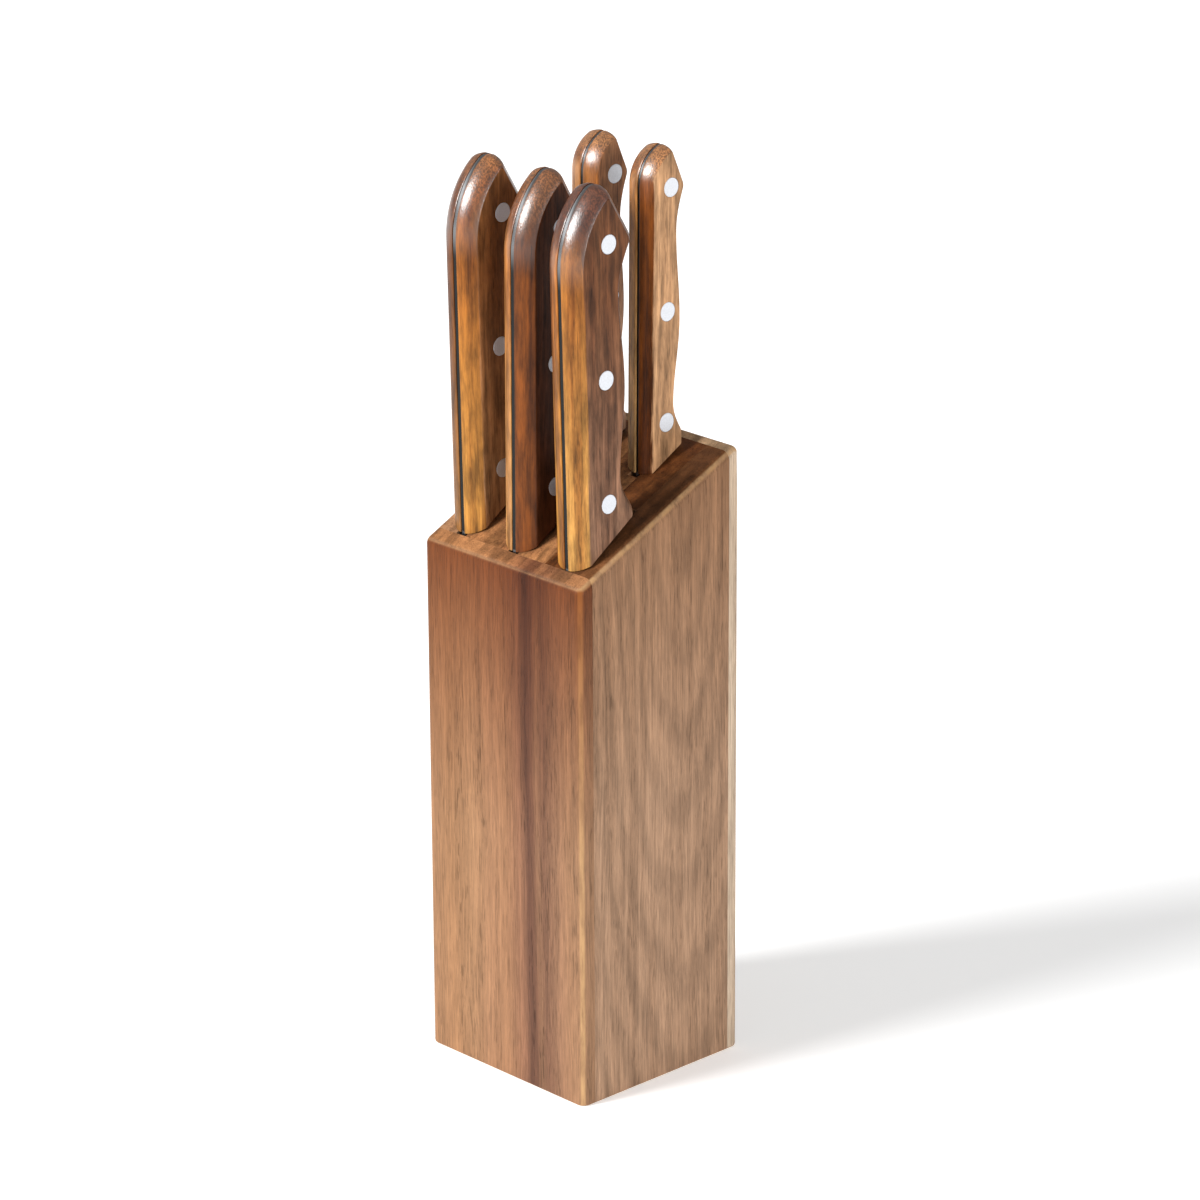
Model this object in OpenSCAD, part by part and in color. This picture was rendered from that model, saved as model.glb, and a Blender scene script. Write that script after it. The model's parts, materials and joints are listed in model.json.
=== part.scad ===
// Slant-top wooden knife block holding five riveted, full-tang kitchen knives.
// Millimetres. +Z is up, +Y points to the back, and the knives' spines face the front (-Y).
// The origin is the centre of the block's base.

/* [Block] */
// Width across the front face
block_w = 75; // [74:0.5:80]
// Depth from the front face to the back face
block_d = 72.5; // [72.5:0.5:76]
// Height of the front face
front_h = 181; // [180:1:190]
// Slope of the top face, in degrees
slope_deg = 25.4; // [24:0.2:27]
// Radius of the outer edges
edge_r = 3; // [1.5:0.5:4]
// Radius of the edges round the base
foot_r = 1; // [0.5:0.5:2]
// Thickness of the front board and of the back board
skin_t = 5.5; // [5:0.5:6]

/* [Slots] */
// Width of every slot
slot_w = 4.5; // [4.3:0.1:4.8]
// Spacing of the three front slots
front_pitch = 25; // [25:0.5:26]
// Distance of each rear slot from the middle
rear_offset = 13; // [12.8:0.1:13.2]
// Height of the front slots' floor above the base
front_floor = 10; // [8:1:12]
// Height of the rear slots' floor above the base
rear_floor = 60; // [50:1:70]
// Back end of the chef's knife slot, behind the front face
chef_slot_end = 58; // [54:0.5:60]
// Back end of the carving knife slot, behind the front face
carving_slot_end = 38; // [34:0.5:42]
// Back end of the bread knife slot, behind the front face
bread_slot_end = 35; // [35:0.5:42]
// Front end of the rear slots, behind the front face
rear_slot_start = 46.9; // [45:0.1:46.9]

/* [Knives] */
// Thickness of the front knives' steel
front_steel_t = 1.5; // [1.3:0.1:2]
// Thickness of the rear knives' steel
rear_steel_t = 1; // [0.8:0.1:1.4]
// Gap between a resting handle and the block
rest_gap = 0.1; // [0.1:0.1:0.5]
// Angle of the cut across the lower end of the front handles' scales, in degrees
front_cut_deg = 33; // [31:0.5:36]
// Angle of the cut across the lower end of the rear handles' scales, in degrees
rear_cut_deg = 30; // [28:0.5:33]
// Length of the front knives' blades
front_blade_l = 168; // [150:1:168]
// Length of the utility knife's blade
utility_blade_l = 125; // [110:1:130]
// Length of the paring knife's blade
paring_blade_l = 90; // [80:1:100]

/* [Rivets] */
// Diameter of the rivet heads
rivet_head_d = 6.4; // [6:0.1:6.8]
// Thickness of the rivet heads
rivet_head_t = 2.2; // [2:0.1:2.4]
// Outside diameter of the hollow half
sleeve_d = 4; // [3.8:0.1:4.2]
// Diameter of the solid half's shank
pin_d = 2.4; // [2.2:0.1:2.6]
// Room round every shank and head
rivet_fit = 0.05; // [0.03:0.01:0.08]

/* [Hidden] */

$fn = 48;
eps = 0.01;
far = 400;
slope = tan(slope_deg);
back_h = front_h + slope * block_d;
front_y = -block_d / 2;
core_end = block_d - skin_t;

// Each slot is milled into the right-hand face of one board, so a joint plane
// lies on the right-hand side of every slot.
slot_x = [-front_pitch, -rear_offset, 0, rear_offset, front_pitch];
joint_x = [for (x = slot_x) x + slot_w / 2];

// Handle outlines are drawn on the flat side face, as [distance from the spine, height].
// Order: edge inset of the domed edges, start of the butt curve, radius of the butt
// curve, peak, beak, upper waist, belly, lower waist, guard, then the thickness of the
// steel and the angle of the cut across the lower end.
FRONT_HANDLE = [
    3.8, 99, 29.1, [15.4, 122.2], [24.1, 107], [18.4, 89.8], [20.3, 60.8], [17.4, 28.8], [22.4, 16.2],
    front_steel_t, front_cut_deg,
];
REAR_HANDLE = [
    1.7, 96.3, 12, [9.6, 107.9], [15, 95.6], [11.8, 81.2], [13.6, 51.2], [11, 23.2], [14.8, 13.2],
    rear_steel_t, rear_cut_deg,
];
FRONT_RIVETS = [[12.3, 21.2], [12.4, 62.8], [14.9, 107.2]];
REAR_RIVETS = [[8, 17.1], [8.1, 54.5], [9.3, 95.7]];

// Each knife: x, y behind the front face, lean (positive leans back), handle
// thickness, outline, rivet places.
CHEF = [-25, 6.2, -1.2, 15, FRONT_HANDLE, FRONT_RIVETS];
CARVING = [0, 5.8, 0.3, 14.5, FRONT_HANDLE, FRONT_RIVETS];
BREAD = [25.3, 5.5, -1.5, 15.6, FRONT_HANDLE, FRONT_RIVETS];
UTILITY = [-12.2, 47.5, 0.6, 12.4, REAR_HANDLE, REAR_RIVETS];
PARING = [13.7, 48, 0.6, 11.7, REAR_HANDLE, REAR_RIVETS];

// Blades: length, width, height of the heel, distance of the point from the spine,
// where the spine starts to fall, where the edge starts to rise (as parts of the length).
CHEF_BLADE = [front_blade_l, 43.5, 2, 17, 0.5, 0.45];
CARVING_BLADE = [front_blade_l, 25, -1, 11, 0.4, 0.7];
BREAD_BLADE = [front_blade_l, 22.5, -1, 17, 0.8, 0.9];
UTILITY_BLADE = [utility_blade_l, 18.3, 0, 7, 0.4, 0.6];
PARING_BLADE = [paring_blade_l, 18.2, 0, 6, 0.4, 0.5];
serration_l = 8;
serration_h = 1.2;

// ---------------------------------------------------------------- colours
warm_brown = [0.62, 0.38, 0.2];
red_brown = [0.5, 0.27, 0.14];
sapwood = [0.82, 0.66, 0.46];
steel = [0.75, 0.76, 0.78];
rivet_grey = [0.85, 0.86, 0.88];

// ---------------------------------------------------------------- block
// Rectangle from the origin with all four corners rounded
module rounded_rect(w, h, r)
{
    translate([r, 0]) square([w - 2 * r, h]);
    translate([0, r]) square([w, h - 2 * r]);
    for (x = [r, w - r], y = [r, h - r])
        translate([x, y]) circle(r);
}

// Side view of the block with its front and back top corners rounded
module side_view()
{
    front_c = [edge_r, front_h + edge_r * slope - edge_r / cos(slope_deg)];
    back_c = [block_d - edge_r, back_h - edge_r * slope - edge_r / cos(slope_deg)];
    lift = [-sin(slope_deg), cos(slope_deg)] * edge_r;
    translate([front_y, 0])
    {
        polygon([
            [foot_r, 0],
            [block_d - foot_r, 0],
            [block_d, foot_r],
            [block_d, back_c.y],
            back_c + lift,
            front_c + lift,
            [0, front_c.y],
            [0, foot_r],
        ]);
        translate(front_c) circle(edge_r);
        translate(back_c) circle(edge_r);
    }
}

// The whole block as one rounded form, which the boards are cut from
module block_form()
{
    intersection()
    {
        translate([-block_w / 2, front_y, 0])
            linear_extrude(back_h) rounded_rect(block_w, block_d, edge_r);
        rotate([90, 0, 90])
            translate([0, 0, -block_w]) linear_extrude(2 * block_w) side_view();
        translate([0, front_y, front_h])
            rotate([slope_deg, 0, 0])
                translate([-block_w / 2, far / 2, -far])
                    rotate([90, 0, 0]) linear_extrude(far) rounded_rect(block_w, far, edge_r);
        translate([-block_w / 2, far / 2, 0])
            rotate([90, 0, 0]) linear_extrude(far) rounded_rect(block_w, far, foot_r);
    }
}

// Slice of the block between two x planes and two distances behind the front face
module slice(x0, x1, y0, y1)
{
    intersection()
    {
        block_form();
        translate([x0, front_y + y0, -1]) cube([x1 - x0, y1 - y0, far]);
    }
}

// Groove whose right-hand side lies on the joint plane at x
module groove(x, y0, y1, floor_z)
{
    translate([x - slot_w, front_y + y0, floor_z]) cube([slot_w + 1, y1 - y0, far]);
}

module front_board()
    color(warm_brown) slice(-block_w, block_w, -1, skin_t);

module back_board()
    color(sapwood) slice(-block_w, block_w, core_end, block_d + 1);

module left_cheek()
    color(red_brown) difference()
    {
        slice(-block_w, joint_x[0], skin_t, core_end);
        groove(joint_x[0], skin_t, chef_slot_end, front_floor);
    }

module left_lamella()
    color(warm_brown) difference()
    {
        slice(joint_x[0], joint_x[1], skin_t, core_end);
        groove(joint_x[1], rear_slot_start, core_end, rear_floor);
    }

module centre_left_lamella()
    color(red_brown) difference()
    {
        slice(joint_x[1], joint_x[2], skin_t, core_end);
        groove(joint_x[2], skin_t, carving_slot_end, front_floor);
    }

module centre_right_lamella()
    color(warm_brown) difference()
    {
        slice(joint_x[2], joint_x[3], skin_t, core_end);
        groove(joint_x[3], rear_slot_start, core_end, rear_floor);
    }

module right_lamella()
    color(red_brown) difference()
    {
        slice(joint_x[3], joint_x[4], skin_t, core_end);
        groove(joint_x[4], skin_t, bread_slot_end, front_floor);
    }

module right_cheek()
    color(warm_brown) slice(joint_x[4], block_w, skin_t, core_end);

// ---------------------------------------------------------------- handle outline
function toward(p, q, d) = p + d * (q - p) / norm(q - p);
function quadratic(a, b, c, t) = (1 - t) * (1 - t) * a + 2 * t * (1 - t) * b + t * t * c;

// Corner at p between a and b, rounded over a length r on each side
function corner(a, p, b, r) =
    [for (i = [0:3]) quadratic(toward(p, a, r), p, toward(p, b, r), i / 3)];

// Smooth rise from a level point a to a slanting point b, without its ends
function flare(a, b, n) =
    [for (i = [1:n - 1]) let (t = i / n) [a.x + (b.x - a.x) * (1 - cos(90 * t)), a.y + (b.y - a.y) * t]];

// Smooth wave between two level points, from a up to just before b
function wave(a, b, n) =
    [for (i = [0:n - 1]) let (t = i / n) [a.x + (b.x - a.x) * (1 - cos(180 * t)) / 2, a.y + (b.y - a.y) * t]];

function reversed(list) = [for (i = [len(list) - 1:-1:0]) list[i]];

// Point on the butt's curve at angle a, which is level with the spine at 0
function butt_point(h, a) = [h[0] + h[2] * (1 - cos(a)), h[1] + h[2] * sin(a)];

// Outline of the flat side face, anticlockwise from the bottom of the belly side
function side_outline(h) =
    let (
        inset = h[0],
        peak = h[3],
        beak = h[4],
        waist_up = h[5],
        belly = h[6],
        waist_low = h[7],
        guard = h[8],
        end_a = asin((peak.y - h[1]) / h[2]),
        low = flare(waist_low, guard, 5),
        up = flare(waist_up, beak, 5),
        butt = [for (i = [1:6]) butt_point(h, end_a * (1 - i / 6))]
    )
    concat(
        [[guard.x, -12], [guard.x, -6]],
        corner([guard.x, 0], guard, low[3], 1.2),
        reversed(low),
        wave(waist_low, belly, 5),
        wave(belly, waist_up, 5),
        [waist_up],
        up,
        corner(up[3], beak, peak, 1.2),
        corner(beak, peak, butt[0], 1.2),
        butt,
        [[inset, -6], [inset, -12]]
    );

// Outline moved outwards by d, each point along its own normal
function grown(points, d) =
    [for (i = [0:len(points) - 1])
        let (
            n = len(points),
            along = points[(i + 1) % n] - points[(i + n - 1) % n],
            normal = [along.y, -along.x] / norm(along)
        )
        points[i] + d * normal
    ];

// Drop of a domed edge at distance x from the middle of the handle
function dome_drop(x, half, inset) =
    let (r = (half * half + inset * inset) / (2 * inset)) r - sqrt(r * r - x * x);

// ---------------------------------------------------------------- knife parts
// From knife axes (across, up the handle, thickness) to the knife's place in the block
module place(knife)
{
    base_z = front_h + slope * knife[1] + rest_gap;
    translate([knife[0], front_y + knife[1], base_z])
        rotate([-knife[2], 0, 0]) rotate([90, 0, 90]) children();
}

// Everything below the slanting cut across the lower end of a handle's scales
module below_cut(h)
    rotate(h[10]) translate([-60, -100]) square([160, 100]);

// One layer of a scale, between two distances from the middle of the handle
module scale_layer(knife, z0, z1, bore_d)
{
    h = knife[4];
    drop = dome_drop(z0, knife[3] / 2, h[0]);
    translate([0, 0, z0]) linear_extrude(z1 - z0) difference()
    {
        polygon(grown(side_outline(h), h[0] - drop));
        below_cut(h);
        for (p = knife[5])
            translate(p) circle(d = bore_d + 2 * rivet_fit);
    }
}

// Scale in four layers that step in along its domed edges, with shank bores
// next to the tang and wider counterbores for the heads at the side face
module drilled_scale(knife)
{
    half = knife[3] / 2;
    tang_z = knife[4][9] / 2;
    head_z = half - rivet_head_t - rivet_fit;
    scale_layer(knife, tang_z, (tang_z + head_z) / 2, sleeve_d);
    scale_layer(knife, (tang_z + head_z) / 2, head_z, sleeve_d);
    scale_layer(knife, head_z, half - 1, rivet_head_d);
    scale_layer(knife, half - 1, half, rivet_head_d);
}

module right_scale(knife)
    place(knife) drilled_scale(knife);

module left_scale(knife)
    place(knife) mirror([0, 0, 1]) drilled_scale(knife);

// Hollow halves of the rivets, with their heads on the left
module rivet_sleeves(knife)
{
    half = knife[3] / 2;
    tip = half - rivet_head_t - 0.4;
    place(knife)
        for (p = knife[5])
            translate(p) difference()
            {
                union()
                {
                    translate([0, 0, -half]) cylinder(h = rivet_head_t, d = rivet_head_d);
                    translate([0, 0, -half + eps]) cylinder(h = half + tip, d = sleeve_d);
                }
                translate([0, 0, -half + rivet_head_t]) cylinder(h = 30, d = pin_d + 2 * rivet_fit);
            }
}

// Solid halves of the rivets, with their heads on the right
module rivet_pins(knife)
{
    half = knife[3] / 2;
    shank_l = knife[3] - rivet_head_t - 1;
    place(knife)
        for (p = knife[5])
            translate(p)
            {
                translate([0, 0, half - rivet_head_t]) cylinder(h = rivet_head_t, d = rivet_head_d);
                translate([0, 0, half - eps - shank_l]) cylinder(h = shank_l, d = pin_d);
            }
}

// Outline of a blade from its heel down to its point
function blade_outline(b, toothed) =
    let (
        l = b[0],
        w = b[1],
        spine = 0.4,
        tip = [b[3], -l],
        fall = [for (i = [0:8]) quadratic([spine, -l * b[4]], [spine, -l * 0.88], tip, i / 8)],
        rise = [for (i = [1:8]) quadratic(tip, [w, -l * 0.97], [w, -l * b[5]], i / 8)],
        run = l * b[5] + b[2],
        steps = 4 * floor(run / serration_l),
        bite = [for (i = [1:steps - 1])
            [w - serration_h * abs(sin(45 * i)), run * i / steps - l * b[5]]]
    )
    concat([[spine, 8]], fall, rise, toothed ? bite : [], [[w, b[2]], [min(w, 17), 8]]);

// Flat tang under the scales and the ground blade below it, one piece of steel
module blade(knife, b, toothed = false)
{
    h = knife[4];
    w = b[1];
    steel_t = h[9];
    place(knife)
        difference()
        {
            union()
            {
                translate([0, 0, -steel_t / 2])
                    linear_extrude(steel_t) difference()
                    {
                        polygon(grown(side_outline(h), h[0] - 0.3));
                        translate([-50, -100]) square([100, 100 - 4]);
                    }
                intersection()
                {
                    translate([0, 0, -steel_t])
                        linear_extrude(2 * steel_t) polygon(blade_outline(b, toothed));
                    rotate([90, 0, 0]) translate([0, 0, -20]) linear_extrude(b[0] + 40)
                        polygon([
                            [-1, -steel_t / 2],
                            [w * 0.45, -steel_t / 2],
                            [w + 1, -0.15],
                            [w + 1, 0.15],
                            [w * 0.45, steel_t / 2],
                            [-1, steel_t / 2],
                        ]);
                }
            }
            for (p = knife[5])
                translate([p.x, p.y, -5]) cylinder(h = 10, d = sleeve_d + 2 * rivet_fit);
        }
}

module chef_blade() color(steel) blade(CHEF, CHEF_BLADE);
module chef_left_scale() color(warm_brown) left_scale(CHEF);
module chef_right_scale() color(red_brown) right_scale(CHEF);
module chef_rivet_sleeves() color(rivet_grey) rivet_sleeves(CHEF);
module chef_rivet_pins() color(rivet_grey) rivet_pins(CHEF);

module carving_blade() color(steel) blade(CARVING, CARVING_BLADE);
module carving_left_scale() color(warm_brown) left_scale(CARVING);
module carving_right_scale() color(red_brown) right_scale(CARVING);
module carving_rivet_sleeves() color(rivet_grey) rivet_sleeves(CARVING);
module carving_rivet_pins() color(rivet_grey) rivet_pins(CARVING);

module bread_blade() color(steel) blade(BREAD, BREAD_BLADE, true);
module bread_left_scale() color(warm_brown) left_scale(BREAD);
module bread_right_scale() color(red_brown) right_scale(BREAD);
module bread_rivet_sleeves() color(rivet_grey) rivet_sleeves(BREAD);
module bread_rivet_pins() color(rivet_grey) rivet_pins(BREAD);

module utility_blade() color(steel) blade(UTILITY, UTILITY_BLADE);
module utility_left_scale() color(warm_brown) left_scale(UTILITY);
module utility_right_scale() color(red_brown) right_scale(UTILITY);
module utility_rivet_sleeves() color(rivet_grey) rivet_sleeves(UTILITY);
module utility_rivet_pins() color(rivet_grey) rivet_pins(UTILITY);

module paring_blade() color(steel) blade(PARING, PARING_BLADE);
module paring_left_scale() color(warm_brown) left_scale(PARING);
module paring_right_scale() color(red_brown) right_scale(PARING);
module paring_rivet_sleeves() color(rivet_grey) rivet_sleeves(PARING);
module paring_rivet_pins() color(rivet_grey) rivet_pins(PARING);

// ---------------------------------------------------------------- parts
front_board();
back_board();
left_cheek();
left_lamella();
centre_left_lamella();
centre_right_lamella();
right_lamella();
right_cheek();
chef_blade();
chef_left_scale();
chef_right_scale();
chef_rivet_sleeves();
chef_rivet_pins();
carving_blade();
carving_left_scale();
carving_right_scale();
carving_rivet_sleeves();
carving_rivet_pins();
bread_blade();
bread_left_scale();
bread_right_scale();
bread_rivet_sleeves();
bread_rivet_pins();
utility_blade();
utility_left_scale();
utility_right_scale();
utility_rivet_sleeves();
utility_rivet_pins();
paring_blade();
paring_left_scale();
paring_right_scale();
paring_rivet_sleeves();
paring_rivet_pins();
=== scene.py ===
"""Looks of a slant-top wooden knife block with five riveted knives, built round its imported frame."""
import json
import math

import bmesh
import bpy
import numpy as np
from mathutils import Matrix, Vector


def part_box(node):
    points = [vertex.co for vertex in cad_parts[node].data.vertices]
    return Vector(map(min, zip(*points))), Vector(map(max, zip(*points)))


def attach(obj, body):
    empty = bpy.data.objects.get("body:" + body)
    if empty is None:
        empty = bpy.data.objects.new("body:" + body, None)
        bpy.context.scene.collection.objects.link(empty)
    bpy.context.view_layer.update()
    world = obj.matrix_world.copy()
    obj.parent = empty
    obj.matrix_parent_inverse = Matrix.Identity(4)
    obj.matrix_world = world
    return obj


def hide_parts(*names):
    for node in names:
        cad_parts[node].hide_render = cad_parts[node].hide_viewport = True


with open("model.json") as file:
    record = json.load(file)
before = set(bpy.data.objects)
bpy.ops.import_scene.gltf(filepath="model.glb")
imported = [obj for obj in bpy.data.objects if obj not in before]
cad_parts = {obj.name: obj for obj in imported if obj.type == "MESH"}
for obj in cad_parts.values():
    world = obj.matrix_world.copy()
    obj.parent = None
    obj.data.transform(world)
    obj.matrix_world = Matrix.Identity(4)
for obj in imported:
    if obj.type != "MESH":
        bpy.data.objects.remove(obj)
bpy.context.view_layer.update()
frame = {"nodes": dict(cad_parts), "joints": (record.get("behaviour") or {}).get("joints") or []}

MM = 0.001


scene = bpy.context.scene


# ------------------------------------------------------------------ camera, light and floor
CAMERA_AZIMUTH = math.radians(46.5)
CAMERA_ELEVATION = math.radians(19.61)
CAMERA_ROLL = math.radians(-0.29)
CAMERA_DISTANCE = 1.737
CAMERA_ASIDE = 0.0056
CAMERA_ABOVE = 0.057
CAMERA_LENS_MM = 156.4
SENSOR_MM = 36

SKY = 0.33
FLOOR_HALF = 6
FLOOR_GREY = 0.93
FLOOR_GLOW = 0.33        # lightens the shadow, as the surroundings of a white sweep do
# Name: direction the light comes from, its apparent width in degrees, strength
LIGHTS = {
    "key": ((-0.28, -0.84, 0.47), 20, 4.4),
    "fill": ((0.95, -0.05, 0.12), 40, 3.0),
}


def add_camera():
    """Long lens at the photographer's place, looking down a little at the front right corner."""
    a, e, r = CAMERA_AZIMUTH, CAMERA_ELEVATION, CAMERA_ROLL
    back = Vector((math.sin(a) * math.cos(e), -math.cos(a) * math.cos(e), math.sin(e)))
    level = Vector((math.cos(a), math.sin(a), 0))
    upright = back.cross(level)
    right = level * math.cos(r) + upright * math.sin(r)
    up = upright * math.cos(r) - level * math.sin(r)
    data = bpy.data.cameras.new("camera")
    data.lens = CAMERA_LENS_MM
    data.sensor_width = SENSOR_MM
    camera = bpy.data.objects.new("camera", data)
    middle = Vector((0, 0, BLOCK_MIDDLE))
    place = middle + back * CAMERA_DISTANCE + right * CAMERA_ASIDE + up * CAMERA_ABOVE
    camera.matrix_world = Matrix.Translation(place) @ Matrix((right, up, back)).transposed().to_4x4()
    scene.collection.objects.link(camera)
    scene.camera = camera


def add_softbox(name, direction, width, strength):
    """Large, even light a long way off."""
    data = bpy.data.lights.new(name, "SUN")
    data.energy = strength
    data.angle = math.radians(width)
    light = bpy.data.objects.new(name, data)
    light.matrix_world = Vector(direction).to_track_quat("Z", "Y").to_matrix().to_4x4()
    scene.collection.objects.link(light)


def add_studio():
    """White floor and sky, a soft key light at the front left and a wider, low one on the right."""
    world = bpy.data.worlds.new("studio")
    world.use_nodes = True
    sky = world.node_tree.nodes["Background"]
    sky.inputs["Color"].default_value = (1, 1, 1, 1)
    sky.inputs["Strength"].default_value = SKY
    scene.world = world
    for name, (direction, width, strength) in LIGHTS.items():
        add_softbox(name, direction, width, strength)
    mesh = bpy.data.meshes.new("floor")
    corners = [(x * FLOOR_HALF, y * FLOOR_HALF, 0) for x, y in ((-1, -1), (1, -1), (1, 1), (-1, 1))]
    mesh.from_pydata(corners, [], [(0, 1, 2, 3)])
    floor = bpy.data.objects.new("floor", mesh)
    scene.collection.objects.link(floor)
    g = Graph("floor_white")
    g.principled(base=(*(FLOOR_GREY,) * 3, 1), roughness=0.9, specular=0.1, glow=FLOOR_GLOW)
    mesh.materials.append(g.material)


# ------------------------------------------------------------------ material graphs
LACQUER_IOR = 1.85


class Graph:
    """A material's node graph, with one short call for each kind of node."""

    def __init__(self, name):
        self.material = bpy.data.materials.new(name)
        self.material.use_nodes = True
        self.tree = self.material.node_tree
        self.tree.nodes.clear()
        self.out = self.tree.nodes.new("ShaderNodeOutputMaterial")

    def put(self, socket, value):
        """Links a socket's output to the input, or sets the input's own value."""
        if isinstance(value, bpy.types.NodeSocket):
            self.tree.links.new(value, socket)
        elif value is not None:
            socket.default_value = value

    def math(self, operation, a, b=None):
        n = self.tree.nodes.new("ShaderNodeMath")
        n.operation = operation
        self.put(n.inputs[0], a)
        self.put(n.inputs[1], b)
        return n.outputs[0]

    def vector(self, operation, a, b=None):
        n = self.tree.nodes.new("ShaderNodeVectorMath")
        n.operation = operation
        self.put(n.inputs[0], a)
        self.put(n.inputs[1], b)
        return n.outputs["Value" if operation in ("LENGTH", "DOT_PRODUCT") else "Vector"]

    def split(self, v):
        n = self.tree.nodes.new("ShaderNodeSeparateXYZ")
        self.put(n.inputs[0], v)
        return n.outputs

    def join(self, x, y, z):
        n = self.tree.nodes.new("ShaderNodeCombineXYZ")
        for socket, value in zip(n.inputs, (x, y, z)):
            self.put(socket, value)
        return n.outputs[0]

    def object_mm(self):
        """Position on the object, in millimetres, and its surface normal."""
        n = self.tree.nodes.new("ShaderNodeTexCoord")
        return self.vector("MULTIPLY", n.outputs["Object"], (1 / MM,) * 3), n.outputs["Normal"]

    def mapped(self, v, place, turn):
        n = self.tree.nodes.new("ShaderNodeMapping")
        self.put(n.inputs["Vector"], v)
        n.inputs["Location"].default_value = place
        n.inputs["Rotation"].default_value = turn
        return n.outputs[0]

    def noise(self, v, per_mm, detail, roughness=0.5, colour=False):
        """Noise that changes about per_mm times a millimetre along each axis."""
        n = self.tree.nodes.new("ShaderNodeTexNoise")
        self.put(n.inputs["Vector"], self.vector("MULTIPLY", v, per_mm))
        n.inputs["Scale"].default_value = 1
        n.inputs["Detail"].default_value = detail
        n.inputs["Roughness"].default_value = roughness
        return n.outputs["Color" if colour else "Fac"]

    def span(self, value, low, high, to_low=0.0, to_high=1.0, smooth=True):
        """Value from low to high as to_low to to_high, held at both ends."""
        n = self.tree.nodes.new("ShaderNodeMapRange")
        n.interpolation_type = "SMOOTHSTEP" if smooth else "LINEAR"
        for socket, v in zip(n.inputs, (value, low, high, to_low, to_high)):
            self.put(socket, v)
        return n.outputs[0]

    def ramp(self, value, stops):
        """Colour ramp through (place, colour) pairs."""
        n = self.tree.nodes.new("ShaderNodeValToRGB")
        self.put(n.inputs[0], value)
        elements = n.color_ramp.elements
        while len(elements) < len(stops):
            elements.new(0.5)
        for element, (place, colour) in zip(elements, stops):
            element.position = place
            element.color = (*colour, 1)
        return n.outputs[0]

    def mix(self, factor, a, b):
        """Colour a where the factor is 0, colour b where it is 1."""
        n = self.tree.nodes.new("ShaderNodeMix")
        n.data_type = "RGBA"
        self.put(n.inputs[0], factor)
        self.put(n.inputs[6], a if isinstance(a, bpy.types.NodeSocket) else (*a, 1))
        self.put(n.inputs[7], b if isinstance(b, bpy.types.NodeSocket) else (*b, 1))
        return n.outputs[2]

    def shade(self, colour, value):
        """Colour multiplied by a grey value."""
        return self.vector("MULTIPLY", colour, self.join(value, value, value))

    def tilt(self, normal, axis):
        """How squarely the surface faces along an axis (0 to 2 for X to Z), either way."""
        return self.math("ABSOLUTE", self.split(normal)[axis])

    def bump(self, height, distance_mm, strength):
        n = self.tree.nodes.new("ShaderNodeBump")
        n.inputs["Strength"].default_value = strength
        n.inputs["Distance"].default_value = distance_mm * MM
        self.put(n.inputs["Height"], height)
        return n.outputs[0]

    def principled(self, base, roughness, metallic=0.0, specular=0.5, coat=0.0, coat_roughness=0.1,
                   normal=None, coat_normal=None, anisotropic=0.0, glow=0.0):
        n = self.tree.nodes.new("ShaderNodeBsdfPrincipled")
        for socket, value in (
            ("Base Color", base), ("Roughness", roughness), ("Metallic", metallic),
            ("Specular IOR Level", specular), ("Coat Weight", coat), ("Coat Roughness", coat_roughness),
            ("Coat IOR", LACQUER_IOR), ("Normal", normal), ("Coat Normal", coat_normal),
            ("Anisotropic", anisotropic), ("Emission Strength", glow),
        ):
            self.put(n.inputs[socket], value)
        self.tree.links.new(n.outputs[0], self.out.inputs["Surface"])


# ------------------------------------------------------------------ wood
# Changes per millimetre along X, Y and Z, the grain running along Z
WANDER = (0.04, 0.04, 0.008)       # slow sideways wander of the grain
STRIPES = (0.22, 0.22, 0.005)      # broad light and dark bands
STREAKS = (1.1, 1.1, 0.012)        # narrow long streaks
FIBRES = (2.4, 2.4, 0.05)          # single fibres
CLOUDS = (0.3, 0.3, 0.07)          # light and dark patches
DASHES = (1.8, 1.8, 0.15)          # long open pores
FLECKS = (4.6, 4.6, 0.4)           # short open pores
GRIT = (1.9, 1.9, 0.9)             # specks of end grain
TOP_STREAKS = (0.2, 0.035, 0.035)       # dark streaks on the top face, along the slope
RIPPLES = (2.0, 2.0, 0.7)          # unevenness of the lacquer

WANDER_MM = (9, 9, 0)
SEED_STEP = (37.0, 91.0, 53.0)     # how far apart two woods lie in the noises
EXPOSURE = 0.61                    # scales every wood's colour to the brightness of the lights
WOOD_SPECULAR = 0.12
LACQUER_ROUGHNESS = 0.3


class Grain:
    """The noises of one piece of wood, the same on every cut face."""

    def __init__(self, g, seed):
        self.place, self.normal = g.object_mm()
        shift = tuple(seed * step for step in SEED_STEP)
        self.at = g.vector("ADD", self.place, shift)
        aside = g.vector("SUBTRACT", g.noise(self.at, WANDER, 3, colour=True), (0.5, 0.5, 0.5))
        self.warped = g.vector("ADD", self.place, g.vector("MULTIPLY", aside, WANDER_MM))
        along = g.vector("ADD", self.warped, shift)
        self.stripe = g.noise(along, STRIPES, 4, 0.6)
        self.streak = g.noise(along, STREAKS, 3, 0.65)
        self.fibre = g.noise(along, FIBRES, 4, 0.75)
        self.cloud = g.noise(self.at, CLOUDS, 5, 0.6)
        dash = g.span(g.noise(self.at, DASHES, 1, 0.4), 0.58, 0.68)
        fleck = g.span(g.noise(self.at, FLECKS, 1, 0.4), 0.6, 0.7, 0, 0.6)
        darker = g.span(self.stripe, 0.3, 0.6, 1.0, 0.35)
        self.pore = g.math("MULTIPLY", g.math("MAXIMUM", dash, fleck), darker)


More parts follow.
